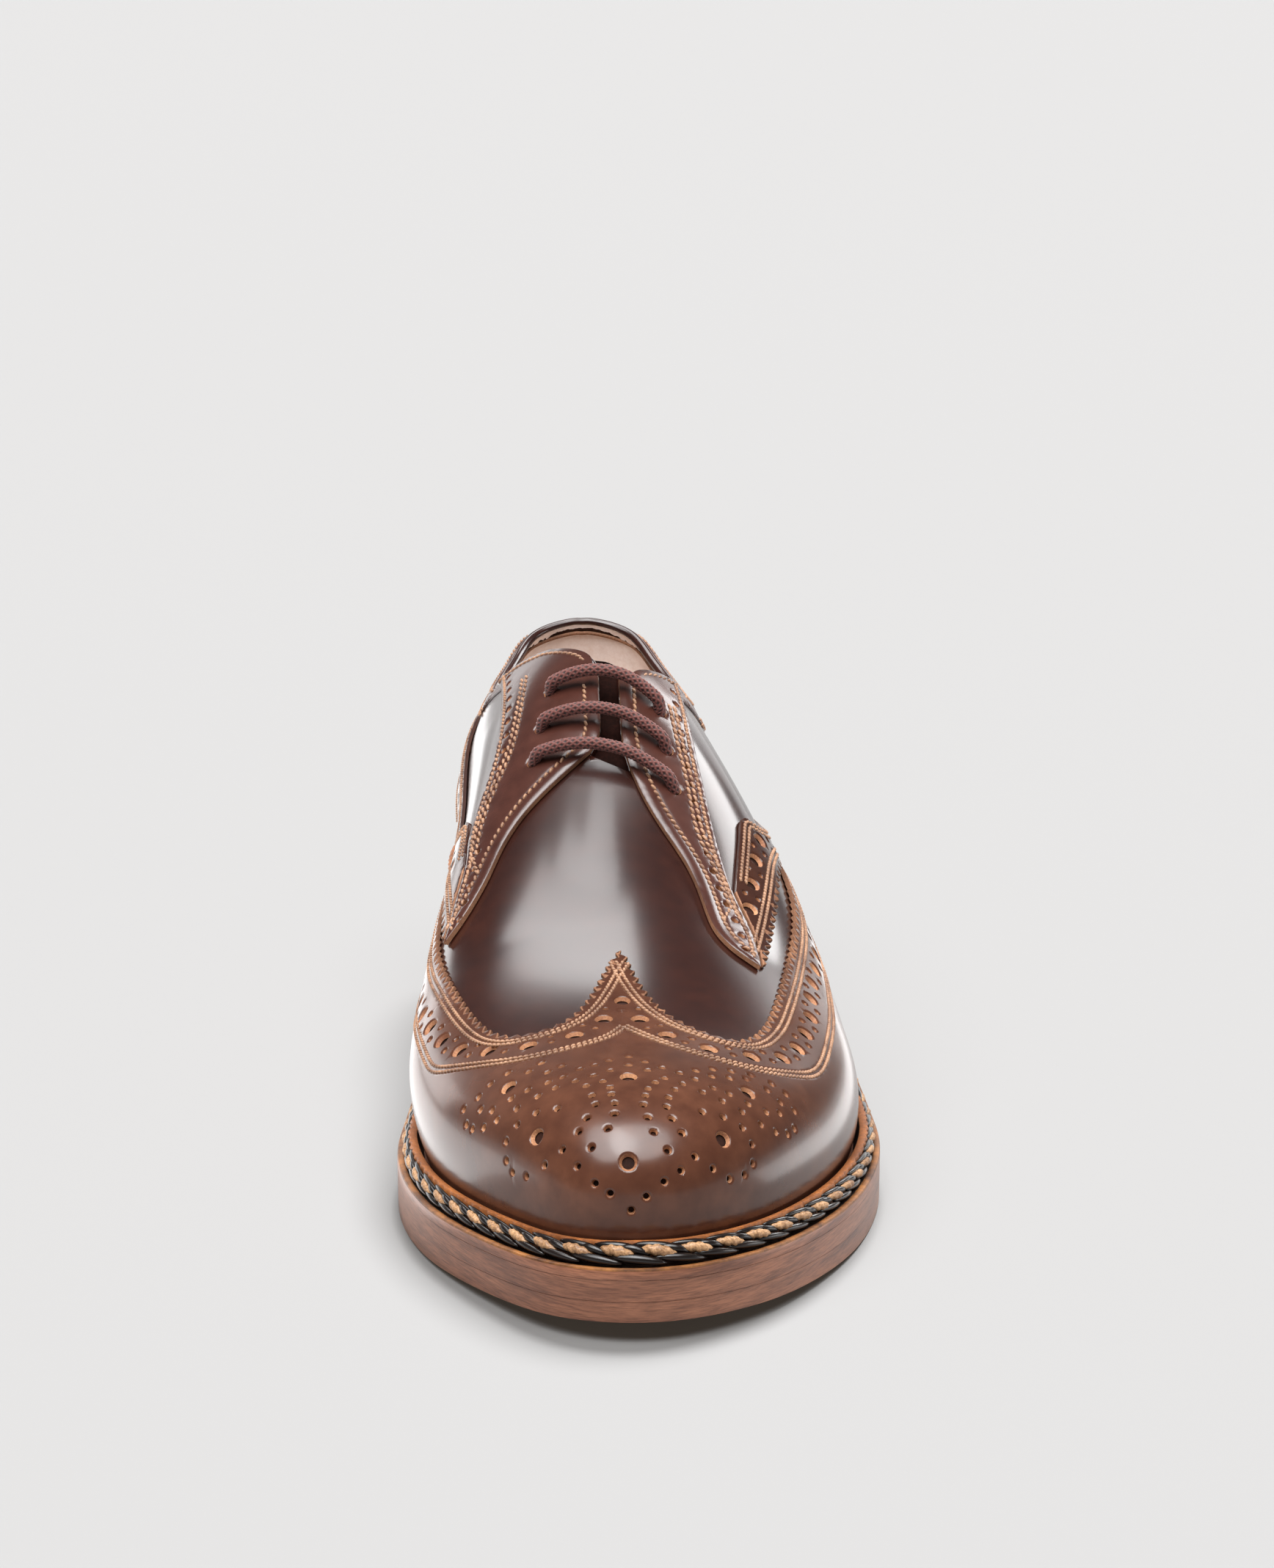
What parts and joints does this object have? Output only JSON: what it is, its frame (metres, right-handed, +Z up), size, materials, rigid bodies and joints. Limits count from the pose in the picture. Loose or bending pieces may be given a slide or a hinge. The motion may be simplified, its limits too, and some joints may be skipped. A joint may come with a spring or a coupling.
{
  "type": "derby shoe",
  "caption": "Left full brogue derby shoe with a long wing cap, open lacing, braided storm welt and a double leather sole on a stacked heel",
  "frame": {"origin": "on the floor plane under the middle of the shoe's length and width", "axes": "toe towards -Y, heel towards +Y, outer side of this left shoe towards +X, up is +Z"},
  "size_m": [0.119, 0.3108, 0.1112],
  "materials": {
    "sole_leather": "burnished edge, matt tread",
    "midsole_leather": "burnished edge",
    "welt_leather": "waxed, worn at the rim",
    "heel_leather": "burnished lifts",
    "insole_leather": "natural, matt",
    "upper_leather": "smooth, high gloss",
    "wing_leather": "smooth, high gloss",
    "foxing_leather": "smooth, high gloss",
    "facing_inner_leather": "smooth, high gloss",
    "facing_outer_leather": "smooth, high gloss",
    "tongue_leather": "smooth, satin",
    "lace_cotton": "waxed round braid"
  },
  "bodies": {
    "root": {"outsole": "sole_leather", "midsole": "midsole_leather", "welt": "welt_leather", "heel": "heel_leather", "insole": "insole_leather", "upper": "upper_leather", "wing_cap": "wing_leather", "heel_foxing": "foxing_leather", "facing_inner": "facing_inner_leather", "facing_outer": "facing_outer_leather", "tongue": "tongue_leather", "lace_bottom": "lace_cotton", "lace_middle": "lace_cotton", "lace_top": "lace_cotton"}
  },
  "joints": []
}
